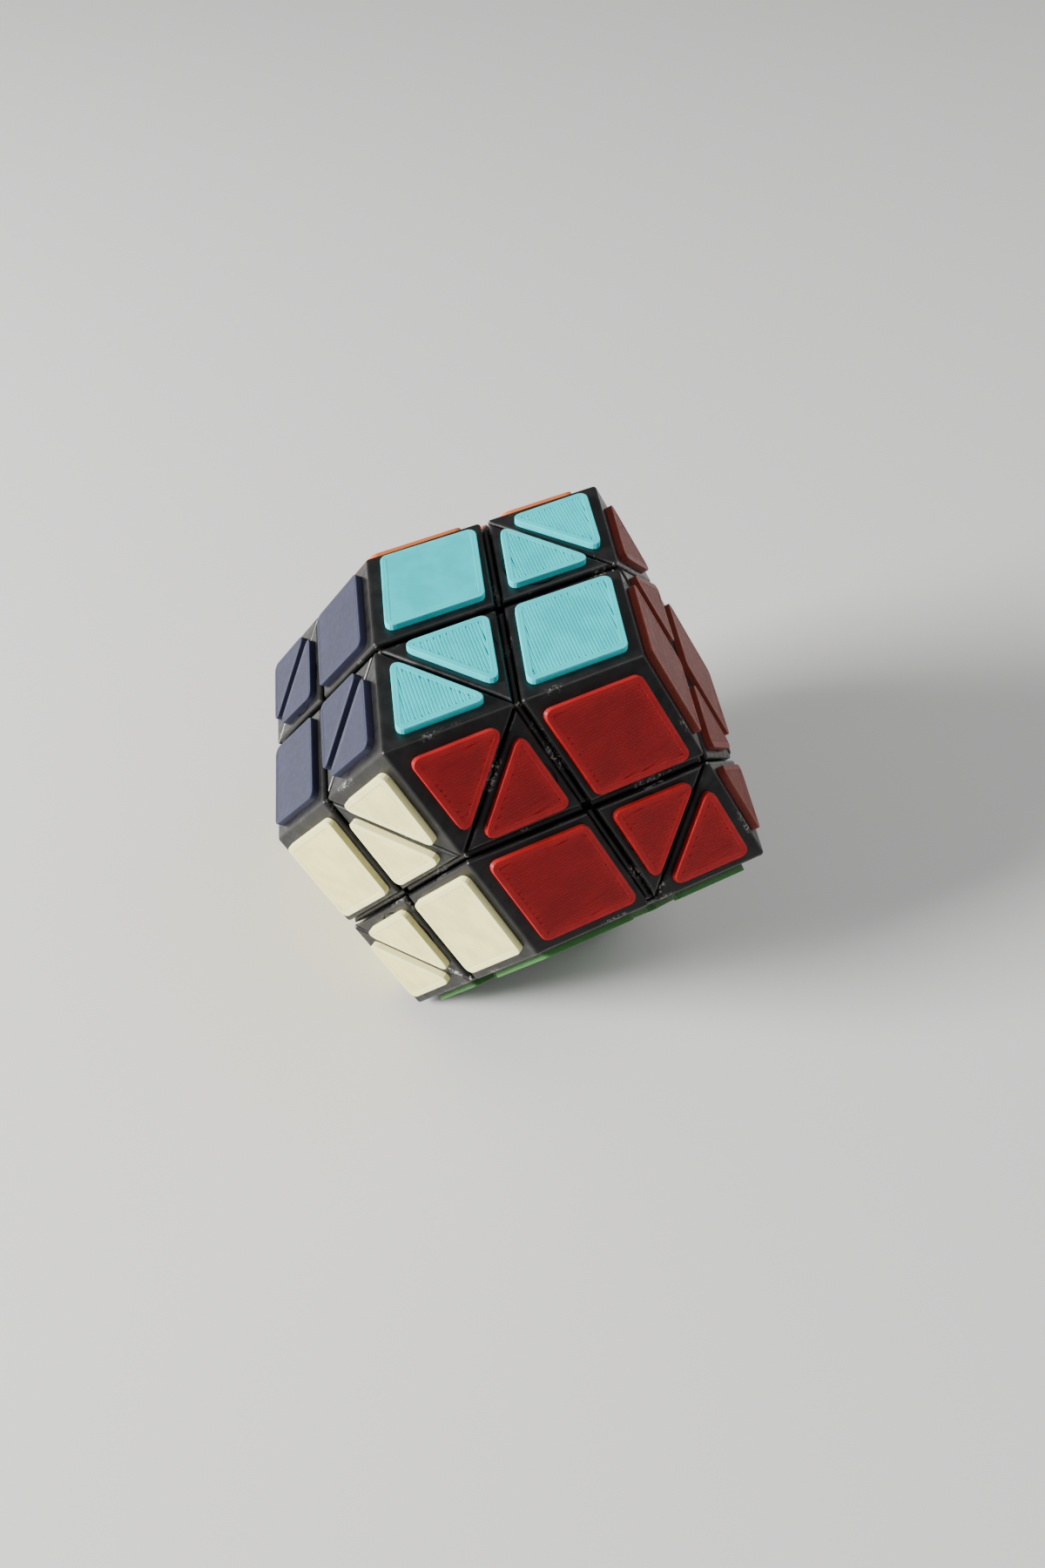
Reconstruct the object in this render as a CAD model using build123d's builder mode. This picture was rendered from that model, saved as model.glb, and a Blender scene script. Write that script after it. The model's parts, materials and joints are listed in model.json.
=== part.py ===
from build123d import *

import os
from itertools import product
from math import acos, asin, cos, degrees, radians, sin, sqrt

# Twisty puzzle: a rhombic dodecahedron whose twelve faces each turn a layer cut halfway
# between the face and the centre. Millimetres, +Z up through one face, origin at the centre.
# The shapes are drawn with the six sharp points on the axes of a cube (the "cube frame"),
# then turned so that one face is on top (the STAND location).

# Driving dimensions
SHORT_DIAGONAL = 42.0     # of one rhombic face of the black body
GAP = 0.3                 # clearance between neighbouring pieces
EDGE_ROUND = 0.55         # rounding of the black pieces' outer edges
FOOT_COVER = 1.8          # how far the feet's top lies outside the meeting point of the cuts
FOOT_THICKNESS = 2.0      # of the shell that all the feet slide in
STEM_WALL = 0.7           # of an axis piece, around its spring, between the rings of feet
CORE_CLEARANCE = 0.2      # between the feet and the core
CORE_WALL = 2.0
CORE_WINDOW_RADIUS = 2.5  # six openings left by the printing of the hollow core
BOSS_RADIUS = 2.6
BOSS_DEPTH = 4.5          # below the core's inner wall
SCREW_RADIUS = 1.0
SCREW_LENGTH = 10.0       # under the head
SCREW_HEAD_RADIUS = 1.85
SCREW_HEAD_HEIGHT = 1.2
SOCKET_WIDTH = 1.5        # hexagon socket, across flats
SOCKET_DEPTH = 0.7
PILOT_CLEARANCE = 0.02
HOLE_CLEARANCE = 0.15     # around a screw in its axis piece
HEAD_CLEARANCE = 0.25     # around a screw head, and above it
WASHER_THICKNESS = 0.3
SEAT_THICKNESS = 1.0      # plastic under each spring
SPRING_WIRE = 0.4
SPRING_CLEARANCE = 0.15
SPRING_PITCH = 0.75
TILE_THICKNESS = 1.0
TILE_INSET = 1.75         # from a tile's side to the cut or edge of its piece
TILE_SPLIT_INSET = 1.2    # the same, along the cut that splits a sharp quarter in two
TILE_CORNER = 1.1
PLUG_MARGIN = 1.2         # from a petal piece's sides to the round plug in its outer wall
PLUG_GROOVE = 0.3
PLUG_DEPTH = 0.2

# Worked out
HALF = SHORT_DIAGONAL / 2
CUT = HALF / sqrt(2)              # from the centre to a cut
FACE = 2 * CUT                    # from the centre to a face
QUARTER = FACE / 2                # half of a quarter's long diagonal
QUARTER_SIDE = sqrt(QUARTER**2 + (HALF / 2) ** 2)
PETAL_INRADIUS = QUARTER * HALF / (HALF + 2 * QUARTER_SIDE)
PLUG_RADIUS = PETAL_INRADIUS - PLUG_MARGIN
FOOT_OUTER = HALF + FOOT_COVER
FOOT_INNER = FOOT_OUTER - FOOT_THICKNESS
CORE_RADIUS = FOOT_INNER - CORE_CLEARANCE
CAVITY_RADIUS = CORE_RADIUS - CORE_WALL
HOLE_RADIUS = SCREW_RADIUS + HOLE_CLEARANCE
HEAD_BORE = SCREW_HEAD_RADIUS + HEAD_CLEARANCE
WASHER_RADIUS = SCREW_HEAD_RADIUS
SPRING_RADIUS = HOLE_RADIUS + SPRING_WIRE / 2
SPRING_BORE = SPRING_RADIUS + SPRING_WIRE / 2 + SPRING_CLEARANCE
# Half angle of a layer's ring of feet, in degrees: the next axis piece is 60 degrees away.
FOOT_ANGLE = 60 - degrees(asin((SPRING_BORE + STEM_WALL + GAP / 2) / FOOT_INNER))
# A screw head stays below the neighbouring cuts, which lean at 60 degrees to its axis.
HEAD_TOP = (CUT - GAP / 2 - cos(radians(30)) * SCREW_HEAD_RADIUS) / sin(radians(30)) - HEAD_CLEARANCE
HEAD_SEAT = HEAD_TOP - SCREW_HEAD_HEIGHT
WASHER_SEAT = HEAD_SEAT - WASHER_THICKNESS
SPRING_SEAT = FOOT_INNER + SEAT_THICKNESS
HEAD_FLOOR = WASHER_SEAT - HEAD_CLEARANCE

# The twelve axes and the twenty-four turns of the cube frame
AXES = [axis for axis in product((-1, 0, 1), repeat=3) if sum(map(abs, axis)) == 2]
UNITS = [unit for unit in product((-1, 0, 1), repeat=3) if sum(map(abs, unit)) == 1]
TURNS = [(x_dir, z_dir) for x_dir in UNITS for z_dir in UNITS if Vector(x_dir).dot(Vector(z_dir)) == 0]
STAND = Plane((0, 0, 0), x_dir=(1, 0, 1), z_dir=(0, -1, 0)).location
FACE_PLANE = Plane((HALF, HALF, 0), x_dir=(1, -1, 0), z_dir=(1, 1, 0))

# One master of each kind of piece: the axes whose layers it belongs to
AXIS_PIECE = [(1, 1, 0)]
WEDGE_PIECE = [(1, 1, 0), (1, 0, 1)]
CORNER_PIECE = [(1, 1, 0), (1, 0, 1), (0, 1, 1)]
PETAL_PIECE = [(1, 1, 0), (1, 0, 1), (1, 0, -1)]
POINT_PIECE = [(1, 1, 0), (1, -1, 0), (1, 0, 1), (1, 0, -1)]

# The two opposite layers that turn, which share no piece; everything else stays with the core
LAYERS = {"top": (1, 1, 0), "bottom": (-1, -1, 0)}
GROUPS = [*LAYERS, "middle"]
COLOURS = {
    "turquoise": (1, 1, 0),
    "cream": (1, -1, 0),
    "red": (1, 0, -1),
    "blue": (1, 0, 1),
    "maroon": (0, 1, -1),
    "orange": (0, 1, 1),
    "yellow": (0, -1, 1),
    "green": (0, -1, -1),
    "purple": (-1, -1, 0),
    "lime": (-1, 1, 0),
    "pink": (-1, 0, 1),
    "grey": (-1, 0, -1),
}


def turned(turn, axis):
    """The axis that a turn of the cube frame carries this axis to."""
    x_dir, z_dir = map(Vector, turn)
    moved = x_dir * axis[0] + z_dir.cross(x_dir) * axis[1] + z_dir * axis[2]
    return tuple(round(value) for value in moved)


def place(turn):
    """Where a turn puts a master that is drawn in the cube frame."""
    return STAND * Plane((0, 0, 0), x_dir=turn[0], z_dir=turn[1]).location


def on_axis(axis):
    """Where a master drawn along Z goes, for one of the twelve axes."""
    return STAND * Plane((0, 0, 0), z_dir=axis).location


def group_of(members):
    """The group that a piece turns with."""
    return next((name for name, axis in LAYERS.items() if axis in members), "middle")


def copies(members):
    """Every place of one kind of piece, as (its axes, its turn), each piece once."""
    found = {}
    for turn in TURNS:
        found.setdefault(frozenset(turned(turn, axis) for axis in members), turn)
    return list(found.items())


def side_name(members):
    """Words for where a piece lies on the standing puzzle."""
    middle = sum((Vector(axis) for axis in members), Vector(0, 0, 0))
    spot = STAND * Location(middle.normalized())
    words = (("bottom", "top", spot.position.Z), ("front", "back", spot.position.Y))
    words += (("left", "right", spot.position.X),)
    return "_".join(low if value < 0 else high for low, high, value in words if abs(value) > 0.1)


def save(made, name):
    made.part.label = name
    export_step(made.part, f"parts/{name}.step")


def save_copies(master, name, places):
    """One node that holds a copy of the master at each place."""
    with BuildPart() as made:
        with Locations(*places):
            add(master.part)
    save(made, name)


def layer(grow, inner, reach, top):
    """All that turns with one face, as a solid of revolution about Z, grown by a clearance."""
    angle = radians(FOOT_ANGLE) + asin(grow / FOOT_OUTER)
    outer = FOOT_OUTER + grow
    base = CUT - grow
    neck = acos(base / outer)
    with BuildPart() as made:
        with BuildSketch(Plane.XZ):
            with BuildLine():
                shell = Polyline((inner * sin(angle), inner * cos(angle)), (outer * sin(angle), outer * cos(angle)))
                middle = (angle + neck) / 2
                ThreePointArc(shell @ 1, (outer * sin(middle), outer * cos(middle)), (outer * sin(neck), base))
                Polyline((outer * sin(neck), base), (reach, base), (reach, top), (0, top), (0, inner))
                ThreePointArc((0, inner), (inner * sin(angle / 2), inner * cos(angle / 2)), shell @ 0)
            make_face()
        revolve(axis=Axis.Z)
    return made


inside = layer(-GAP / 2, FOOT_INNER, 2.1 * HALF, FACE)
outside = layer(GAP / 2, CORE_RADIUS - CORE_WALL, 4 * HALF, 4 * HALF)


def share_layers(members):
    """In the part being made: what the layers of these axes share, less every other layer."""
    for number, axis in enumerate(members):
        with Locations(Plane((0, 0, 0), z_dir=axis).location):
            add(inside.part, mode=Mode.INTERSECT if number else Mode.ADD)
    for axis in AXES:
        if axis not in members:
            with Locations(Plane((0, 0, 0), z_dir=axis).location):
                add(outside.part, mode=Mode.SUBTRACT)


def outer_edges(made):
    """The straight edges that lie wholly outside the shell of feet."""
    lines = made.edges().filter_by(GeomType.LINE)
    return lines.filter_by(lambda edge: min((edge @ 0).length, (edge @ 1).length) > FOOT_OUTER + GAP)


def rounded_piece(members):
    with BuildPart() as made:
        share_layers(members)
        fillet(outer_edges(made), EDGE_ROUND)
    return made


def petal_piece():
    """A rounded piece with the seam of a round plug in its outer wall."""
    with BuildPart() as made:
        share_layers(PETAL_PIECE)
        fillet(outer_edges(made), EDGE_ROUND)
        with BuildSketch(FACE_PLANE):
            with Locations((QUARTER - PETAL_INRADIUS, 0)):
                Circle(PLUG_RADIUS)
                Circle(PLUG_RADIUS - PLUG_GROOVE, mode=Mode.SUBTRACT)
        extrude(amount=-PLUG_DEPTH, mode=Mode.SUBTRACT)
    return made


def axis_piece():
    """Turned by its screw: a stepped bore for the screw, its spring and its head."""
    with BuildPart() as made:
        share_layers(AXIS_PIECE)
        for radius, floor in ((HOLE_RADIUS, 0), (SPRING_BORE, SPRING_SEAT), (HEAD_BORE, HEAD_FLOOR)):
            with BuildSketch(Plane((0, 0, 0), z_dir=AXIS_PIECE[0]).offset(floor)):
                Circle(radius)
            extrude(amount=2 * FACE, mode=Mode.SUBTRACT)
    return made


def tile(*corners):
    """A flat tile on a face, its outline drawn from the corners of its part of the face."""
    with BuildPart() as made:
        with BuildSketch(FACE_PLANE):
            Polygon(*corners, align=None)
            offset(amount=-TILE_INSET, kind=Kind.INTERSECTION, mode=Mode.REPLACE)
            fillet(vertices(), TILE_CORNER)
        extrude(amount=TILE_THICKNESS)
    return made


# The split's narrower inset moves the base of each triangle towards the split.
base = QUARTER + TILE_INSET - TILE_SPLIT_INSET
half_base = base * (HALF / 2) / QUARTER
TILES = (
    (CORNER_PIECE, tile((0, 0), (-QUARTER, -HALF / 2), (0, -HALF), (QUARTER, -HALF / 2))),
    (PETAL_PIECE, tile((0, 0), (base, -half_base), (base, half_base))),
    (POINT_PIECE, tile((FACE, 0), (FACE - base, half_base), (FACE - base, -half_base))),
)


def make_tiles():
    """One node for the tiles of each colour in each group."""
    spots = {}
    for members, master in TILES:
        for turn in TURNS:
            owner = [turned(turn, axis) for axis in members]
            key = (turned(turn, AXIS_PIECE[0]), group_of(owner))
            spots.setdefault(key, []).append((master, place(turn)))
    for (face, group), tiles in spots.items():
        colour = next(name for name, axis in COLOURS.items() if axis == face)
        with BuildPart() as made:
            for master, spot in tiles:
                with Locations(spot):
                    add(master.part)
        save(made, f"{colour}_tiles_{group}")


def make_large_pieces():
    """The six points and eight corners, each a node of its own."""
    for kind, members in (("point", POINT_PIECE), ("corner", CORNER_PIECE)):
        master = rounded_piece(members)
        for owner, turn in copies(members):
            save_copies(master, f"{kind}_piece_{side_name(owner)}", [place(turn)])


def make_small_pieces():
    """The petals, hidden wedges and axis pieces, one node for each group."""
    kinds = (
        ("petal", PETAL_PIECE, petal_piece()),
        ("wedge", WEDGE_PIECE, rounded_piece(WEDGE_PIECE)),
        ("axis", AXIS_PIECE, axis_piece()),
    )
    for kind, members, master in kinds:
        for group in GROUPS:
            places = [place(turn) for owner, turn in copies(members) if group_of(owner) == group]
            save_copies(master, f"{kind}_pieces_{group}", places)


def make_core():
    """A hollow ball with a screw boss under each axis piece and six windows."""
    with BuildPart() as core:
        Sphere(CORE_RADIUS)
        Sphere(CAVITY_RADIUS, mode=Mode.SUBTRACT)
        for axis in AXES:
            seat = Plane(on_axis(axis)).offset(CAVITY_RADIUS - BOSS_DEPTH)
            with BuildSketch(seat):
                Circle(BOSS_RADIUS)
            extrude(amount=BOSS_DEPTH + CORE_WALL / 2)
        for axis in AXES:
            with BuildSketch(Plane(on_axis(axis))):
                Circle(SCREW_RADIUS + PILOT_CLEARANCE)
            extrude(amount=FACE, mode=Mode.SUBTRACT)
        for unit in UNITS:
            with BuildSketch(Plane(on_axis(unit))):
                Circle(CORE_WINDOW_RADIUS)
            extrude(amount=FACE, mode=Mode.SUBTRACT)
    save(core, "core")


def make_fasteners():
    """Twelve each of the screws, washers and springs."""
    places = [on_axis(axis) for axis in AXES]
    with BuildPart() as screw:
        with BuildSketch(Plane.XY.offset(HEAD_SEAT - SCREW_LENGTH)):
            Circle(SCREW_RADIUS)
        extrude(amount=SCREW_LENGTH)
        with BuildSketch(Plane.XY.offset(HEAD_SEAT)):
            Circle(SCREW_HEAD_RADIUS)
        extrude(amount=SCREW_HEAD_HEIGHT)
        with BuildSketch(Plane.XY.offset(HEAD_TOP)):
            RegularPolygon(SOCKET_WIDTH / 2, 6, major_radius=False)
        extrude(amount=-SOCKET_DEPTH, mode=Mode.SUBTRACT)
    save_copies(screw, "axis_screws", places)

    with BuildPart() as washer:
        with BuildSketch(Plane.XY.offset(WASHER_SEAT)):
            Circle(WASHER_RADIUS)
            Circle(HOLE_RADIUS, mode=Mode.SUBTRACT)
        extrude(amount=WASHER_THICKNESS)
    save_copies(washer, "washers", places)

    # The coil's wire just clears its seat and the washer.
    low = SPRING_SEAT + SPRING_WIRE / 2 + PILOT_CLEARANCE
    high = WASHER_SEAT - SPRING_WIRE / 2 - PILOT_CLEARANCE
    with BuildPart() as spring:
        with BuildLine():
            coil = Helix(SPRING_PITCH, high - low, SPRING_RADIUS, center=(0, 0, low))
        with BuildSketch(coil ^ 0):
            Circle(SPRING_WIRE / 2)
        sweep(is_frenet=True)
    save_copies(spring, "springs", places)


os.makedirs("parts", exist_ok=True)
make_tiles()
make_large_pieces()
make_small_pieces()
make_core()
make_fasteners()
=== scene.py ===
import json
import math
import random
from itertools import product

import bmesh
import bpy
from bpy.props import FloatProperty, FloatVectorProperty, PointerProperty
from mathutils import Matrix, Vector


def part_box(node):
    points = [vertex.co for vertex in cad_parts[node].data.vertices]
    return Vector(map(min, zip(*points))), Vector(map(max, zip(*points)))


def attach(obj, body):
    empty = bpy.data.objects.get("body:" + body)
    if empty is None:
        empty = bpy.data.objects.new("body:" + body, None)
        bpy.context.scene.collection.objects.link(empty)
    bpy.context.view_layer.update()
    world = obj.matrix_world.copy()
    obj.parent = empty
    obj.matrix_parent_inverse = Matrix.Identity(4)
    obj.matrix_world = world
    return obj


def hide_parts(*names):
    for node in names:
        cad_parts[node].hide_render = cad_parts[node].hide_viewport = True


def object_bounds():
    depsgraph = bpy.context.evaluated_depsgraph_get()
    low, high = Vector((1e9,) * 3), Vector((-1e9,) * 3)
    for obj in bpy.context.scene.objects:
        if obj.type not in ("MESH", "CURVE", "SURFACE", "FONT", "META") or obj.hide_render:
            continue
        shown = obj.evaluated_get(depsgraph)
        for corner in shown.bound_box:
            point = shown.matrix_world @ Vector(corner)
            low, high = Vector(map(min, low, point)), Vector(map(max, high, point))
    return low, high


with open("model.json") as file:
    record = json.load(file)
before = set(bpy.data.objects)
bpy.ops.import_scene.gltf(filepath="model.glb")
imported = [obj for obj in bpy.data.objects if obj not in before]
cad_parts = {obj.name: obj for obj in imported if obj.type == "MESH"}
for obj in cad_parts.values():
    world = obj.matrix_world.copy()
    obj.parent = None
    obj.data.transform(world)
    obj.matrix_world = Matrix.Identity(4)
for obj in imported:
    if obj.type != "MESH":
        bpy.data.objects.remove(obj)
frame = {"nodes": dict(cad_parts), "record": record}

bl_info = {
    "name": "Rhombic Twisty Puzzle Looks",
    "version": (1, 0, 0),
    "blender": (4, 5, 0),
    "location": "3D View > Sidebar > Puzzle",
    "description": "Printed tiles, black plastic and a studio stage for a rhombic twisty puzzle",
    "category": "Object",
}

MM = 0.001
CAD_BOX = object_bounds()

# The top tiles' box gives the distance to a face and the tiles' thickness.
TOP_LOW, TOP_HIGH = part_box("turquoise_tiles_top")
FACE = TOP_LOW[2]
TILE_THICKNESS = TOP_HIGH[2] - TOP_LOW[2]
HALF = FACE / math.sqrt(2)      # half of a face's short diagonal
QUARTER = FACE / 2              # half of a quarter's long diagonal

# The cube frame, whose axes are the six sharp points, as it stands in the row frame
ROOT_HALF = math.sqrt(0.5)
STAND = Matrix(((ROOT_HALF, -ROOT_HALF, 0), (0, 0, -1), (ROOT_HALF, ROOT_HALF, 0)))
UNITS = [unit for unit in product((-1, 0, 1), repeat=3) if sum(map(abs, unit)) == 1]

# The axes whose layers a piece belongs to, for the piece under each master tile
CORNER_PIECE = ((1, 1, 0), (1, 0, 1), (0, 1, 1))
PETAL_PIECE = ((1, 1, 0), (1, 0, 1), (1, 0, -1))
POINT_PIECE = ((1, 1, 0), (1, -1, 0), (1, 0, 1), (1, 0, -1))
MASTER_FACE = (1, 1, 0)
LAYERS = {"top": (1, 1, 0), "bottom": (-1, -1, 0)}
FACES = {
    "turquoise": (1, 1, 0),
    "cream": (1, -1, 0),
    "red": (1, 0, -1),
    "blue": (1, 0, 1),
    "maroon": (0, 1, -1),
    "orange": (0, 1, 1),
    "yellow": (0, -1, 1),
    "green": (0, -1, -1),
    "purple": (-1, -1, 0),
    "lime": (-1, 1, 0),
    "pink": (-1, 0, 1),
    "grey": (-1, 0, -1),
}
COLOURS = {face: colour for colour, face in FACES.items()}
# The filling lines run one way on all tiles of a colour, and the other way in these colours.
TURNED = ("maroon", "green", "lime")
# These colours were printed less neatly, with deep pits where the lines turned back.
PITTED = ("turquoise", "orange", "lime", "grey")
# Glued with the printed face down, which hides the lines: all tiles of these colours, and one
# more, by its face and the piece it is on
SMOOTH = ("blue", "pink")
SMOOTH_TILE = (FACES["turquoise"], set(CORNER_PIECE))

CORNER_STEPS = 5         # sides of the arc at a tile's corner
LAYER_BULGE = 1.004      # how much a tile's wall widens at the middle of each printed layer
TOP_EDGE = 0.08 * MM     # size of the rounding along a tile's top
# A tile's top, from its side inwards, is a rounded edge and two loops: each step's width and rise
RIM_STEPS = [
    (0.3 * TOP_EDGE, 0.7 * TOP_EDGE),
    (0.7 * TOP_EDGE, 0.3 * TOP_EDGE),
    (0.32 * MM, 0.0),
    (0.05 * MM, -0.03 * MM),
    (0.05 * MM, 0.03 * MM),
    (0.28 * MM, 0.0),
    (0.05 * MM, -0.03 * MM),
]
RIM_WIDTH = sum(width for width, _ in RIM_STEPS)
LINE_SLOPE = math.radians(45)   # of the filling lines, from a face's long diagonal
PRINTS = 3               # different tiles of each kind, way and neatness
# In lines: from a groove's bottom to the top of its walls, and how far off the bottom a point
# still counts as on it
GROOVE_WALL = 0.25
ON_LINE = 0.02
# Each groove's and pit's share of its full depth is drawn between these.
GROOVE_SPREAD = (0.6, 1.15)
PIT_SPREAD = (0.2, 1.2)
CUT_SLACK = 1e-8         # in metres: points this near a cut's plane are on it
MERGE = 0.001 * MM       # points nearer than this become one
TILE_SEED = 7
PIT_PLACE = 0.12 * MM    # from the loops to the deepest point of a pit
PIT_LENGTH = 0.4 * MM    # from there inwards
FADE = 2.6 * MM          # how far the painted glow reaches in from a tile's side; it stands in for light that enters there

# Each filament's colour, and the lighter colour painted at its edges as a glow, standing in for light
# behind them (linear values)
FILAMENTS = {
    "turquoise": ((0.0, 0.60, 0.64), (0.01, 0.70, 0.74)),
    "cream": ((0.98, 0.90, 0.36), (0.985, 0.935, 0.47)),
    "red": ((0.25, 0.002, 0.004), (0.46, 0.012, 0.014)),
    "blue": ((0.017, 0.019, 0.046), (0.024, 0.027, 0.060)),
    "maroon": ((0.16, 0.020, 0.011), (0.22, 0.034, 0.020)),
    "orange": ((0.88, 0.12, 0.008), (0.96, 0.22, 0.03)),
    "yellow": ((0.86, 0.72, 0.03), (0.95, 0.86, 0.12)),
    "green": ((0.035, 0.12, 0.03), (0.06, 0.19, 0.05)),
    "purple": ((0.10, 0.03, 0.26), (0.18, 0.06, 0.40)),
    "lime": ((0.24, 0.56, 0.03), (0.36, 0.72, 0.08)),
    "pink": ((0.82, 0.18, 0.34), (0.92, 0.32, 0.48)),
    "grey": ((0.24, 0.25, 0.26), (0.33, 0.34, 0.35)),
}

FLOOR_REACH = 12.0       # from the middle of the floor to its sides, in metres
AIM = Vector((2.0, 4.2, -3.1)) * MM   # what the camera looks at
# Each light's place and size in metres, and its power in watts
LIGHTS = {"key": ((0.52, -0.56, 0.34), 0.3, 20.0), "fill": ((-0.25, 0.35, 0.55), 0.6, 2.0)}
SKY = (0.86, 0.88, 0.91)
SKY_STRENGTH = 0.32

# Black plastic: how far from an edge or a cut its wear starts and is full, in metres times root
# two, and the sizes of its patterns
EDGE_WEAR = (0.9 * MM, 0.1 * MM)
CUT_WEAR = (1.1 * MM, 0.3 * MM)
WEAR_PATCH = 6 * MM
SCUFF_GRAIN = 0.45 * MM
SCUFF_ROUGHNESS = 0.35   # added where the plastic is scuffed
TONE_PATCH = 3 * MM
GLOSS_PATCH = 1.2 * MM
PORE = 0.22 * MM
DENT = 2.5 * MM
PORE_DEPTH = 0.02 * MM
# Filament: how fast the painted glow at a tile's side falls off, and the sizes of its patterns
GLOW_POWER = 2.0
GLOW_PATCH = 2.5 * MM
STREAK = 0.5 * MM
CLOUD = 4 * MM
SHEEN_PATCH = 0.8 * MM
BEAD = 0.25 * MM
BEAD_DEPTH = 0.02 * MM
LIGHT_REACH = 0.4 * MM   # how far light wanders under a tile's skin


# ---------------------------------------------------------------- properties


class PuzzleTileSizes(bpy.types.PropertyGroup):
    """Sizes of the printed tiles."""

    inset: FloatProperty(
        name="Inset", description="From a tile's side to the cut or edge",
        default=1.75 * MM, unit="LENGTH",
    )
    split_inset: FloatProperty(
        name="Split inset", description="From a tile's side to the split",
        default=1.2 * MM, unit="LENGTH",
    )
    corner: FloatProperty(
        name="Corner", description="Radius of a tile's corners",
        default=1.1 * MM, unit="LENGTH",
    )
    line: FloatProperty(
        name="Line width", description="Width of one printed line",
        default=0.456 * MM, unit="LENGTH",
    )
    layer: FloatProperty(
        name="Layer height", description="Height of one printed layer",
        default=0.2 * MM, unit="LENGTH",
    )
    groove: FloatProperty(
        name="Groove", description="Depth between two printed lines",
        default=0.045 * MM, unit="LENGTH",
    )
    pit: FloatProperty(
        name="Pit", description="Depth of a pit at a line's end",
        default=0.34 * MM, unit="LENGTH",
    )
    neat_pit: FloatProperty(
        name="Neat pit", description="The same in neat prints",
        default=0.1 * MM, unit="LENGTH",
    )
    shift: FloatProperty(
        name="Shift", description="How far a tile may be glued off its place",
        default=0.22 * MM, unit="LENGTH",
    )
    turn: FloatProperty(
        name="Turn", description="How far a tile may be glued askew",
        default=math.radians(1.1), subtype="ANGLE",
    )


class PuzzlePlastic(bpy.types.PropertyGroup):
    """The black plastic pieces."""

    colour: FloatVectorProperty(
        name="Colour", description="The plastic", subtype="COLOR",
        default=(0.008, 0.0078, 0.0075),
    )
    scuff: FloatVectorProperty(
        name="Scuff", description="Worn edges", subtype="COLOR",
        default=(0.42, 0.40, 0.37),
    )
    wear: FloatProperty(
        name="Wear", description="Share of the edges that is worn",
        default=0.45, subtype="FACTOR",
    )


class PuzzleStage(bpy.types.PropertyGroup):
    """The floor, lights and camera."""

    floor: FloatVectorProperty(
        name="Floor", description="Colour of the floor", subtype="COLOR",
        default=(0.72, 0.71, 0.69),
    )
    distance: FloatProperty(
        name="Distance", description="From the camera to what it looks at",
        default=185.6 * MM, unit="LENGTH",
    )
    azimuth: FloatProperty(
        name="Azimuth", description="Of the camera, from -Y",
        default=math.radians(118.1), subtype="ANGLE",
    )
    elevation: FloatProperty(
        name="Elevation", description="Of the camera",
        default=math.radians(50.02), subtype="ANGLE",
    )
    roll: FloatProperty(
        name="Roll", description="Of the camera",
        default=math.radians(-0.65), subtype="ANGLE",
    )
    lens: FloatProperty(name="Lens", description="Focal length", default=27.92, unit="CAMERA")


# ------------------------------------------------------------------ geometry


def turns():
    """The twenty-four turns of the cube frame."""
    for x_dir, z_dir in product(UNITS, repeat=2):
        across, up = Vector(x_dir), Vector(z_dir)
        if across.dot(up) == 0:
            yield Matrix((across, up.cross(across), up)).transposed()


def whole(vector):
    return tuple(round(value) for value in vector)


def group_of(members):
    """The group of pieces that these members turn with."""
    return next((name for name, axis in LAYERS.items() if axis in members), "middle")


def face_matrix():
    """From a drawing of the master face, with u to a sharp point, to the cube frame."""
    across, normal = Vector((1, -1, 0)).normalized(), Vector(MASTER_FACE).normalized()
    columns = Matrix((across, normal.cross(across), normal)).transposed()
    return Matrix.Translation(normal * FACE) @ columns.to_4x4()


def triangle(tip, base, half_base):
    side = math.copysign(half_base, base - tip)
    return ((tip, 0), (base, -side), (base, side))


def outlines(sizes):
    """The part of a face that each kind of tile lies in, as (pieces under it, corners)."""
    base = QUARTER + sizes.inset - sizes.split_inset
    half_base = base * HALF / 2 / QUARTER
    rhombus = ((0, 0), (-QUARTER, -HALF / 2), (0, -HALF), (QUARTER, -HALF / 2))
    inner = triangle(0, base, half_base)
    outer = triangle(FACE, FACE - base, half_base)
    return ((CORNER_PIECE, rhombus), (PETAL_PIECE, inner), (POINT_PIECE, outer))


def inset(bm, face, thickness, depth=0.0):
    bmesh.ops.inset_region(
        bm, faces=[face], thickness=thickness, depth=depth, use_boundary=True, use_even_offset=True
    )
    return face


def round_corners(bm, radius):
    """Bevels each corner of a flat outline to an arc of this radius."""
    for corner in list(bm.verts):
        sides = [edge.other_vert(corner).co - corner.co for edge in corner.link_edges]
        reach = radius / math.tan(sides[0].angle(sides[1]) / 2)
        bmesh.ops.bevel(
            bm,
            geom=[corner],
            offset=reach,
            segments=CORNER_STEPS,
            profile=0.5,
            affect="VERTICES",
            material=-1,
        )


def extrude_cap(bm, cap, rise, spread):
    """Raises the cap of a tile by one step, a little wider or narrower.

    The first cap stays behind as the tile's underside, and the later ones don't.
    """
    has_walls = all(len(edge.link_faces) > 1 for edge in cap.edges)
    raised = bmesh.ops.extrude_face_region(bm, geom=[cap])
    if has_walls and cap.is_valid:
        bmesh.ops.delete(bm, geom=[cap], context="FACES_ONLY")
    verts = [item for item in raised["geom"] if isinstance(item, bmesh.types.BMVert)]
    middle = sum((vert.co for vert in verts), Vector()) / len(verts)
    bmesh.ops.translate(bm, verts=verts, vec=(0, 0, rise))
    bmesh.ops.scale(bm, verts=verts, vec=(spread, spread, 1), space=Matrix.Translation(-middle))
    bm.normal_update()
    return next(item for item in raised["geom"] if isinstance(item, bmesh.types.BMFace))


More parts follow.
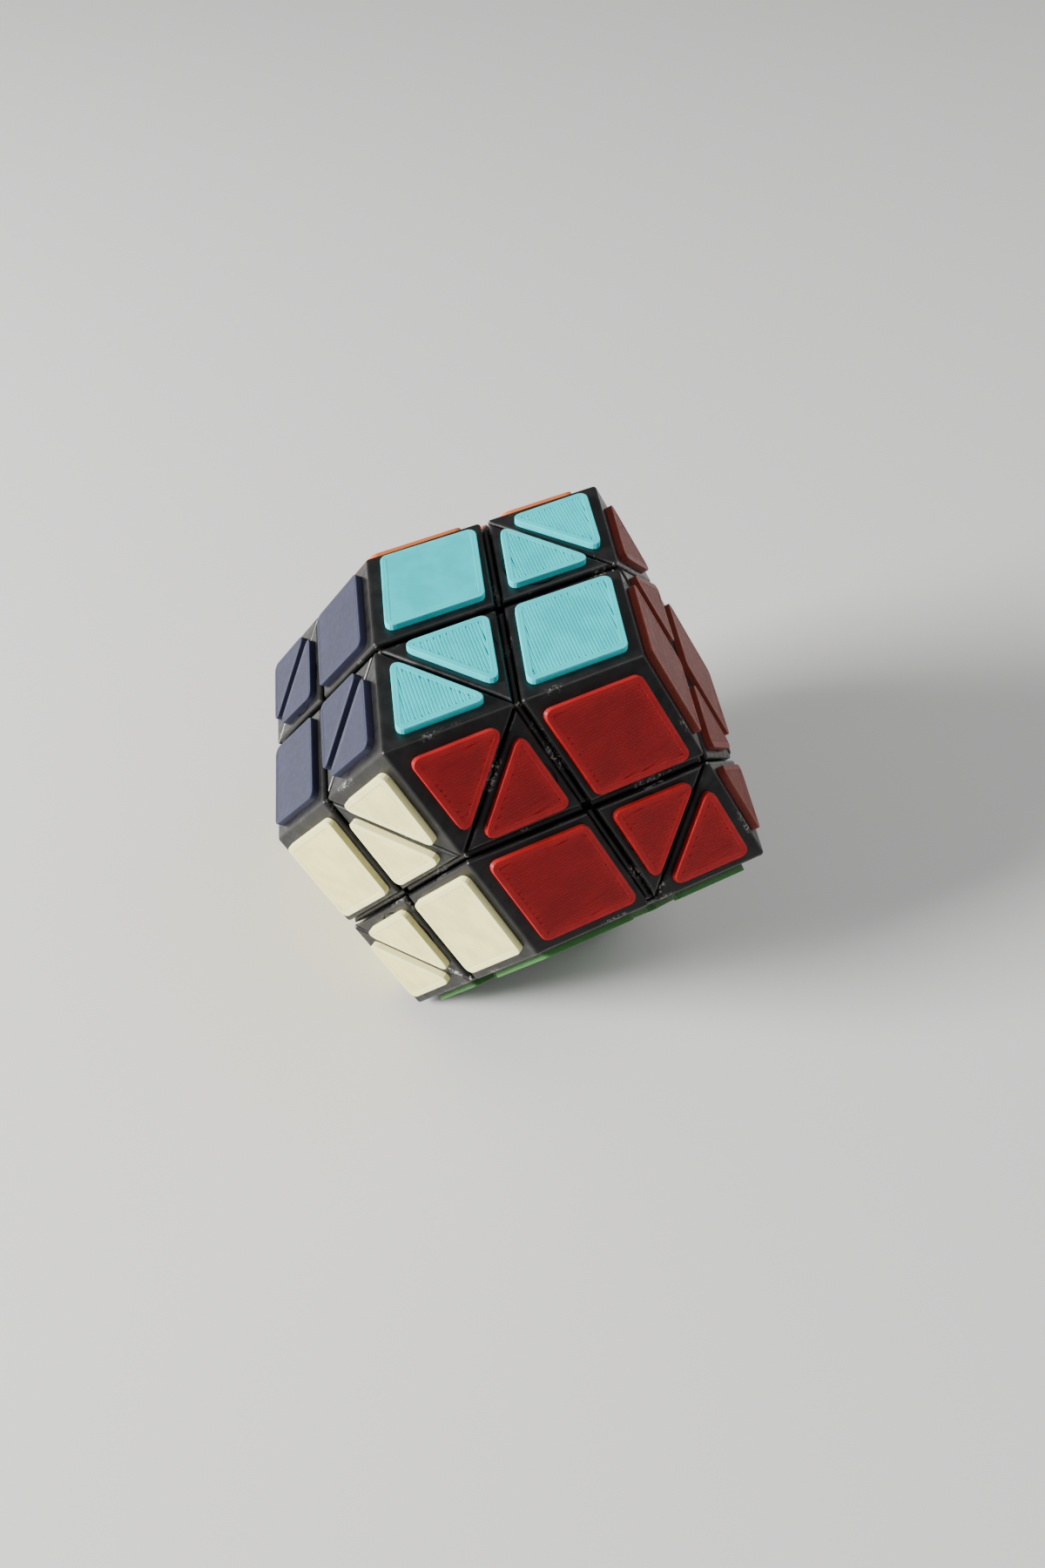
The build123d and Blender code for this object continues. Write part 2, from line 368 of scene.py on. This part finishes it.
def cut(bm, faces, across, place):
    """Cuts these faces by an upright plane, and adds the new faces to them."""
    geom = list(faces | {e for f in faces for e in f.edges} | {v for f in faces for v in f.verts})
    made = bmesh.ops.bisect_plane(bm, geom=geom, dist=CUT_SLACK, plane_co=across * place, plane_no=across)
    faces |= {item for item in made["geom"] if isinstance(item, bmesh.types.BMFace)}


def cut_lines(bm, faces, sizes, across, start):
    """Cuts along both walls and the bottom of each groove between two lines."""
    reach = [vert.co.dot(across) for face in faces for vert in face.verts]
    first = math.floor((min(reach) - start) / sizes.line)
    last = math.ceil((max(reach) - start) / sizes.line)
    wall = GROOVE_WALL * sizes.line
    for number in range(first, last + 1):
        for step in (-wall, 0.0, wall):
            cut(bm, faces, across, start + number * sizes.line + step)


def side_normals(corners):
    """The inward direction of each side of an outline, and where along it the side lies."""
    points = [Vector((*corner, 0)) for corner in corners]
    middle = sum(points, Vector()) / len(points)
    for first, second in zip(points, points[1:] + points[:1]):
        inward = Vector((first.y - second.y, second.x - first.x, 0)).normalized()
        if inward.dot(middle - first) < 0:
            inward.negate()
        yield inward, inward.dot(first)


def sink_grooves(faces, sizes, pits, along, across, start, depth_in, draw):
    """Lowers each groove, and opens a pit at every second end, where a line turned back."""
    rows = {}
    for vert in {vert for face in faces for vert in face.verts}:
        place = (vert.co.dot(across) - start) / sizes.line
        if abs(place - round(place)) < ON_LINE:
            rows.setdefault(round(place), []).append(vert)
    ends = [vert.co.dot(along) for row in rows.values() for vert in row]
    middle = (min(ends) + max(ends)) / 2
    for number in sorted(rows):
        groove, pit = draw.uniform(*GROOVE_SPREAD), draw.uniform(*PIT_SPREAD) * pits
        for vert in rows[number]:
            inside = depth_in(vert) - RIM_WIDTH
            sunk = groove * sizes.groove * min(1, max(0, inside / PIT_PLACE))
            if (vert.co.dot(along) - middle) * (-1) ** number > 0:
                away = inside - PIT_PLACE
                reach = PIT_LENGTH if away > 0 else PIT_PLACE
                sunk += pit * max(0, 1 - abs(away) / reach)
            vert.co.z -= sunk


def tile_mesh(corners, sizes, slope, pits, draw):
    """One printed tile, lying on z = 0: layered walls, two raised loops and filling lines.

    A tile without a slope shows the side that lay on the printer's bed, which has no lines.
    Its attribute for the painted glow is 1 at the tile's sides and fades to 0 towards its middle.
    """
    bm = bmesh.new()
    # mask for the painted glow at the tile's sides
    painted_glow_mask = bm.verts.layers.float.new("painted_glow_mask")
    face = bm.faces.new([bm.verts.new((*corner, 0)) for corner in corners])
    face.normal_update()
    inset(bm, face, sizes.inset)
    bmesh.ops.delete(bm, geom=[f for f in bm.faces if f is not face], context="FACES")
    round_corners(bm, sizes.corner)
    bm.faces.ensure_lookup_table()
    cap = bm.faces[0]
    steps = 2 * round(TILE_THICKNESS / sizes.layer)
    for number in range(steps):
        rise = (TILE_THICKNESS - TOP_EDGE) / steps
        cap = extrude_cap(bm, cap, rise, LAYER_BULGE if number % 2 == 0 else 1 / LAYER_BULGE)
    for width, rise in RIM_STEPS:
        inset(bm, cap, width, rise)

    sides = list(side_normals(corners))

    def depth_in(vert):
        """How far a point lies inside the tile's nearest side."""
        return min(vert.co.dot(inward) - place for inward, place in sides) - sizes.inset

    filled = {cap}
    for inward, place in sides:
        for ring in (RIM_WIDTH + PIT_PLACE, RIM_WIDTH + PIT_PLACE + PIT_LENGTH, 0.5 * FADE, FADE):
            cut(bm, filled, inward, place + sizes.inset + ring)
    if slope is not None:
        along = Vector((math.cos(slope), math.sin(slope), 0))
        across = Vector((-along.y, along.x, 0))
        start = draw.uniform(0, sizes.line)
        cut_lines(bm, filled, sizes, across, start)
        sink_grooves(filled, sizes, pits, along, across, start, depth_in, draw)
    bmesh.ops.remove_doubles(bm, verts=bm.verts, dist=MERGE)
    # the painted glow's mask: 1 at the tile's sides, 0 at FADE inwards
    for vert in bm.verts:
        vert[painted_glow_mask] = min(1, max(0, 1 - depth_in(vert) / FADE))
    bmesh.ops.recalc_face_normals(bm, faces=bm.faces)
    mesh = bpy.data.meshes.new("tile_master")
    bm.to_mesh(mesh)
    bm.free()
    return mesh


def add_copy(bm, mesh, matrix):
    """Adds a mesh to a bmesh at a place."""
    before = len(bm.verts)
    bm.from_mesh(mesh)
    bm.verts.ensure_lookup_table()
    bmesh.ops.transform(bm, matrix=matrix, verts=bm.verts[before:])


# ----------------------------------------------------------------- materials


class Nodes:
    """A material's node tree, with short calls for the nodes used here."""

    def __init__(self, name):
        self.material = bpy.data.materials.new(name)
        self.material.use_nodes = True
        self.tree = self.material.node_tree
        self.shader = self.tree.nodes["Principled BSDF"]

    def add(self, kind, **settings):
        node = self.tree.nodes.new(kind)
        for name, value in settings.items():
            setattr(node, name, value)
        return node

    def feed(self, socket, value):
        if isinstance(value, bpy.types.NodeSocket):
            self.tree.links.new(value, socket)
        else:
            socket.default_value = value

    def math(self, operation, *values):
        node = self.add("ShaderNodeMath", operation=operation)
        for socket, value in zip(node.inputs, values):
            self.feed(socket, value)
        return node.outputs[0]

    def dot(self, vector, direction):
        node = self.add("ShaderNodeVectorMath", operation="DOT_PRODUCT")
        self.feed(node.inputs[0], vector)
        node.inputs[1].default_value = direction
        return node.outputs["Value"]

    def position(self):
        return self.add("ShaderNodeTexCoord").outputs["Object"]

    def noise(self, size, detail=2.0, roughness=0.5):
        """Noise whose features are about this size, in metres."""
        node = self.add("ShaderNodeTexNoise")
        self.feed(node.inputs["Vector"], self.position())
        node.inputs["Scale"].default_value = 1 / size
        node.inputs["Detail"].default_value = detail
        node.inputs["Roughness"].default_value = roughness
        return node.outputs["Fac"]

    def ramp(self, value, low, high, start=0.0, end=1.0):
        """Turns low..high into start..end, smoothly and clamped."""
        node = self.add("ShaderNodeMapRange", interpolation_type="SMOOTHSTEP")
        for socket, item in zip(node.inputs, (value, low, high, start, end)):
            self.feed(socket, item)
        return node.outputs["Result"]

    def mix(self, factor, first, second):
        node = self.add("ShaderNodeMix", data_type="RGBA")
        for name, value in (("Factor_Float", factor), ("A_Color", first), ("B_Color", second)):
            socket = next(item for item in node.inputs if item.identifier == name)
            if not isinstance(value, (bpy.types.NodeSocket, float)):
                value = (*value, 1.0)
            self.feed(socket, value)
        return next(item for item in node.outputs if item.identifier == "Result_Color")

    def bump(self, height, distance, strength=1.0):
        node = self.add("ShaderNodeBump")
        self.feed(node.inputs["Height"], height)
        node.inputs["Distance"].default_value = distance
        node.inputs["Strength"].default_value = strength
        return node.outputs["Normal"]

    def finish(self, **sockets):
        for name, value in sockets.items():
            self.feed(self.shader.inputs[name.replace("_", " ")], value)
        return self.material


def edge_distances(nodes):
    """How far a point lies from the body's edges and from the cuts, in metres times root two."""
    position = nodes.position()
    axes = [nodes.math("ABSOLUTE", nodes.dot(position, tuple(STAND.col[i]))) for i in range(3)]
    pairs = ((0, 1), (0, 2), (1, 2))
    sums = [nodes.math("ADD", axes[i], axes[j]) for i, j in pairs]
    gaps = [nodes.math("SUBTRACT", axes[i], axes[j]) for i, j in pairs]
    largest = nodes.math("MAXIMUM", nodes.math("MAXIMUM", sums[0], sums[1]), sums[2])
    middle = nodes.math("ADD", nodes.math("ADD", sums[0], sums[1]), sums[2])
    smallest = nodes.math("MINIMUM", nodes.math("MINIMUM", sums[0], sums[1]), sums[2])
    middle = nodes.math("SUBTRACT", nodes.math("SUBTRACT", middle, largest), smallest)
    to_edge = nodes.math("SUBTRACT", largest, middle)
    to_cut = None
    for level in (*sums, *(nodes.math("ABSOLUTE", gap) for gap in gaps)):
        off = nodes.math("ABSOLUTE", nodes.math("SUBTRACT", level, HALF))
        to_cut = off if to_cut is None else nodes.math("MINIMUM", to_cut, off)
    return to_edge, to_cut


def black_plastic(settings):
    """Satin black plastic, scuffed white where its edges and cuts are worn."""
    nodes = Nodes("black_plastic")
    to_edge, to_cut = edge_distances(nodes)
    near_edge = nodes.ramp(to_edge, *EDGE_WEAR)
    near_cut = nodes.ramp(to_cut, *CUT_WEAR)
    near = nodes.math("MAXIMUM", near_edge, near_cut)
    tips = nodes.math("MULTIPLY", near_edge, near_cut)
    spread = 0.5 * settings.wear
    patches = nodes.ramp(nodes.noise(WEAR_PATCH, 1.0), 0.80 - spread, 0.92 - spread)
    patches = nodes.math("MAXIMUM", patches, nodes.ramp(tips, 0.4, 0.9, 0.0, 0.9))
    grain = nodes.ramp(nodes.noise(SCUFF_GRAIN, 4.0, 0.75), 0.50, 0.60)
    scuffs = nodes.math("MULTIPLY", nodes.math("MULTIPLY", near, patches), grain)
    tone = nodes.ramp(nodes.noise(TONE_PATCH, 3.0), 0.35, 0.7)
    dark = tuple(settings.colour)
    base = nodes.mix(tone, dark, tuple(1.9 * value for value in dark))
    colour = nodes.mix(scuffs, base, tuple(settings.scuff))
    smooth = nodes.ramp(nodes.noise(GLOSS_PATCH, 4.0), 0.3, 0.7, 0.26, 0.42)
    rough = nodes.math("ADD", smooth, nodes.math("MULTIPLY", scuffs, SCUFF_ROUGHNESS))
    pores = nodes.noise(PORE, 3.0, 0.6)
    dents = nodes.math("ADD", pores, nodes.math("MULTIPLY", nodes.noise(DENT), 2.0))
    normal = nodes.bump(dents, PORE_DEPTH, 0.6)
    return nodes.finish(Base_Color=colour, Roughness=rough, Normal=normal, Specular_IOR_Level=0.35)


def filament(name):
    """One colour of printed plastic, with a painted glow that makes it lighter towards its sides, where
    light gets in.
    """
    # the filament's colour, and the brighter colour of the painted glow at its edges
    body, painted_glow_colour = FILAMENTS[name]
    nodes = Nodes(f"{name}_filament")
    painted_glow_mask = nodes.add("ShaderNodeAttribute", attribute_name="painted_glow_mask").outputs["Fac"]
    glow = nodes.math("POWER", painted_glow_mask, GLOW_POWER)
    wave = nodes.ramp(nodes.noise(GLOW_PATCH, 3.0), 0.3, 0.7, 0.6, 1.0)
    streak = nodes.ramp(nodes.noise(STREAK, 3.0, 0.7), 0.3, 0.7, -0.06, 0.06)
    # painted glow: the brighter colour is mixed in near the tile's sides, plus random streaks over the
    # whole tile
    lift = nodes.math("MAXIMUM", nodes.math("ADD", nodes.math("MULTIPLY", glow, wave), streak), 0.0)
    cloud = nodes.ramp(nodes.noise(CLOUD), 0.35, 0.65)
    base = nodes.mix(cloud, tuple(0.9 * value for value in body), tuple(1.06 * value for value in body))
    colour = nodes.mix(lift, base, painted_glow_colour)
    rough = nodes.ramp(nodes.noise(SHEEN_PATCH, 3.0), 0.3, 0.7, 0.43, 0.50)
    beads = nodes.noise(BEAD, 2.0, 0.6)
    normal = nodes.bump(beads, BEAD_DEPTH, 0.6)
    return nodes.finish(
        Base_Color=colour,
        Roughness=rough,
        Normal=normal,
        Specular_IOR_Level=0.3,
        Subsurface_Weight=0.12,
        Subsurface_Radius=(1.0, 1.0, 1.0),
        Subsurface_Scale=LIGHT_REACH,
    )


def nylon():
    nodes = Nodes("core_nylon")
    grain = nodes.noise(0.18 * MM, 3.0, 0.7)
    colour = nodes.mix(nodes.ramp(grain, 0.3, 0.7), (0.60, 0.58, 0.53), (0.70, 0.68, 0.63))
    return nodes.finish(Base_Color=colour, Roughness=0.75, Normal=nodes.bump(grain, 0.04 * MM))


def steel(name, colour, roughness):
    """Plated or drawn steel with fine scratches."""
    nodes = Nodes(name)
    scratches = nodes.noise(0.15 * MM, 4.0, 0.7)
    rough = nodes.ramp(scratches, 0.3, 0.7, roughness, roughness + 0.2)
    shade = nodes.mix(nodes.ramp(nodes.noise(1.5 * MM), 0.3, 0.7), tuple(0.8 * c for c in colour), colour)
    normal = nodes.bump(scratches, 0.01 * MM)
    return nodes.finish(Base_Color=shade, Roughness=rough, Normal=normal, Metallic=1.0)


def paint(material, *starts):
    """Gives a material to each CAD node whose name starts so."""
    for name, node in frame["nodes"].items():
        if name.startswith(starts):
            for spot in node.material_slots:
                spot.material = material


# ----------------------------------------------------------------- operators


class PUZZLE_OT_printed_tiles(bpy.types.Operator):
    """Build the 72 printed tiles, one piece for each colour in each layer"""

    bl_idname = "puzzle.printed_tiles"
    bl_label = "Printed tiles"

    def spots(self, sizes, draw):
        """The mesh and the place of every tile, by the face and the group of pieces it is on."""
        found = {}
        for members, corners in outlines(sizes):
            prints = {
                (way, pits): [
                    tile_mesh(corners, sizes, way * LINE_SLOPE, pits, draw) for _ in range(PRINTS)
                ]
                for way in (1, -1)
                for pits in (sizes.neat_pit, sizes.pit)
            }
            smooth = tile_mesh(corners, sizes, None, 0.0, draw)
            middle = sum((vert.co for vert in smooth.vertices), Vector()) / len(smooth.vertices)
            for turn in turns():
                face = whole(turn @ Vector(MASTER_FACE))
                owner = [whole(turn @ Vector(axis)) for axis in members]
                slip = Vector((draw.uniform(-1, 1), draw.uniform(-1, 1), 0)) * sizes.shift
                askew = Matrix.Rotation(draw.uniform(-1, 1) * sizes.turn, 4, "Z")
                glued = Matrix.Translation(middle + slip) @ askew @ Matrix.Translation(-middle)
                colour = COLOURS[face]
                way = -1 if colour in TURNED else 1
                pits = sizes.pit if colour in PITTED else sizes.neat_pit
                smooth_side_up = colour in SMOOTH or (face, set(owner)) == SMOOTH_TILE
                mesh = smooth if smooth_side_up else draw.choice(prints[way, pits])
                place = (STAND @ turn).to_4x4() @ face_matrix() @ glued
                found.setdefault((face, group_of(owner)), []).append((mesh, place))
        return found

    def build(self, node, tiles, material):
        """One piece from the tiles of a CAD node."""
        bm = bmesh.new()
        for mesh, place in tiles:
            add_copy(bm, mesh, place)
        mesh = bpy.data.meshes.new(f"printed_{node}")
        bm.to_mesh(mesh)
        bm.free()
        mesh.materials.append(material)
        piece = bpy.data.objects.new(f"printed_{node}", mesh)
        bpy.context.scene.collection.objects.link(piece)
        bodies = frame["record"]["behaviour"]["bodies"]
        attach(piece, next(body for body, nodes in bodies.items() if node in nodes))
        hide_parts(node)

    def execute(self, context):
        finishes = {colour: filament(colour) for colour in FACES}
        spots = self.spots(context.scene.puzzle_tiles, random.Random(TILE_SEED))
        for (face, group), tiles in spots.items():
            self.build(f"{COLOURS[face]}_tiles_{group}", tiles, finishes[COLOURS[face]])
        return {"FINISHED"}


class PUZZLE_OT_black_pieces(bpy.types.Operator):
    """Finish the point, corner, petal, wedge and axis pieces in worn black plastic"""

    bl_idname = "puzzle.black_pieces"
    bl_label = "Black pieces"

    def execute(self, context):
        plastic = black_plastic(context.scene.puzzle_plastic)
        paint(plastic, "point", "corner", "petal", "wedge", "axis_pieces")
        return {"FINISHED"}


class PUZZLE_OT_inside(bpy.types.Operator):
    """Finish the core and its screws, washers and springs"""

    bl_idname = "puzzle.inside"
    bl_label = "Core and fasteners"

    def execute(self, context):
        paint(nylon(), "core")
        paint(steel("zinc_plate", (0.62, 0.63, 0.65), 0.25), "axis_screws", "washers")
        paint(steel("drawn_wire", (0.45, 0.45, 0.46), 0.3), "springs")
        return {"FINISHED"}


class PUZZLE_OT_stage(bpy.types.Operator):
    """Lay the floor and place the lights and the camera"""

    bl_idname = "puzzle.stage"
    bl_label = "Stage"

    def floor(self, settings):
        bm = bmesh.new()
        bmesh.ops.create_grid(bm, x_segments=1, y_segments=1, size=FLOOR_REACH)
        bmesh.ops.translate(bm, verts=bm.verts, vec=(0, 0, CAD_BOX[0][2]))
        mesh = bpy.data.meshes.new("floor")
        bm.to_mesh(mesh)
        bm.free()
        nodes = Nodes("floor")
        mesh.materials.append(nodes.finish(Base_Color=(*settings.floor, 1.0), Roughness=0.9))
        floor = bpy.data.objects.new("floor", mesh)
        bpy.context.scene.collection.objects.link(floor)

    def light(self, name, place, size, power):
        lamp = bpy.data.lights.new(name, "AREA")
        lamp.size = size
        lamp.energy = power
        light = bpy.data.objects.new(name, lamp)
        light.location = place
        light.rotation_euler = Vector(place).to_track_quat("Z", "Y").to_euler()
        bpy.context.scene.collection.objects.link(light)

    def camera(self, settings):
        swing, lift = settings.azimuth, settings.elevation
        back = Vector((math.sin(swing) * math.cos(lift), -math.cos(swing) * math.cos(lift), math.sin(lift)))
        data = bpy.data.cameras.new("camera")
        data.lens = settings.lens
        camera = bpy.data.objects.new("camera", data)
        camera.location = AIM + back * settings.distance
        level = back.to_track_quat("Z", "Y").to_matrix()
        camera.rotation_euler = (level @ Matrix.Rotation(settings.roll, 3, "Z")).to_euler()
        bpy.context.scene.collection.objects.link(camera)
        bpy.context.scene.camera = camera

    def execute(self, context):
        settings = context.scene.puzzle_stage
        self.camera(settings)
        self.floor(settings)
        for name, (place, size, power) in LIGHTS.items():
            self.light(name, place, size, power)
        world = bpy.data.worlds.new("studio")
        world.use_nodes = True
        background = world.node_tree.nodes["Background"]
        background.inputs["Color"].default_value = (*SKY, 1)
        background.inputs["Strength"].default_value = SKY_STRENGTH
        context.scene.world = world
        return {"FINISHED"}


class PUZZLE_PT_panel(bpy.types.Panel):
    """The puzzle's looks, in the sidebar"""

    bl_label = "Twisty puzzle"
    bl_idname = "PUZZLE_PT_panel"
    bl_space_type = "VIEW_3D"
    bl_region_type = "UI"
    bl_category = "Puzzle"

    def draw(self, context):
        for operator in OPERATORS:
            self.layout.operator(operator.bl_idname)
        for name in SETTINGS:
            settings = getattr(context.scene, name)
            for item in settings.bl_rna.properties:
                if item.identifier not in ("rna_type", "name"):
                    self.layout.prop(settings, item.identifier)


OPERATORS = (PUZZLE_OT_stage, PUZZLE_OT_printed_tiles, PUZZLE_OT_black_pieces, PUZZLE_OT_inside)
SETTINGS = {"puzzle_tiles": PuzzleTileSizes, "puzzle_plastic": PuzzlePlastic, "puzzle_stage": PuzzleStage}


def register():
    for item in (*SETTINGS.values(), *OPERATORS, PUZZLE_PT_panel):
        bpy.utils.register_class(item)
    for name, group in SETTINGS.items():
        setattr(bpy.types.Scene, name, PointerProperty(type=group))


def unregister():
    for name in SETTINGS:
        delattr(bpy.types.Scene, name)
    for item in reversed((*SETTINGS.values(), *OPERATORS, PUZZLE_PT_panel)):
        bpy.utils.unregister_class(item)


def main():
    register()
    bpy.ops.puzzle.stage()
    bpy.ops.puzzle.printed_tiles()
    bpy.ops.puzzle.black_pieces()
    bpy.ops.puzzle.inside()


if __name__ == "__main__":
    main()
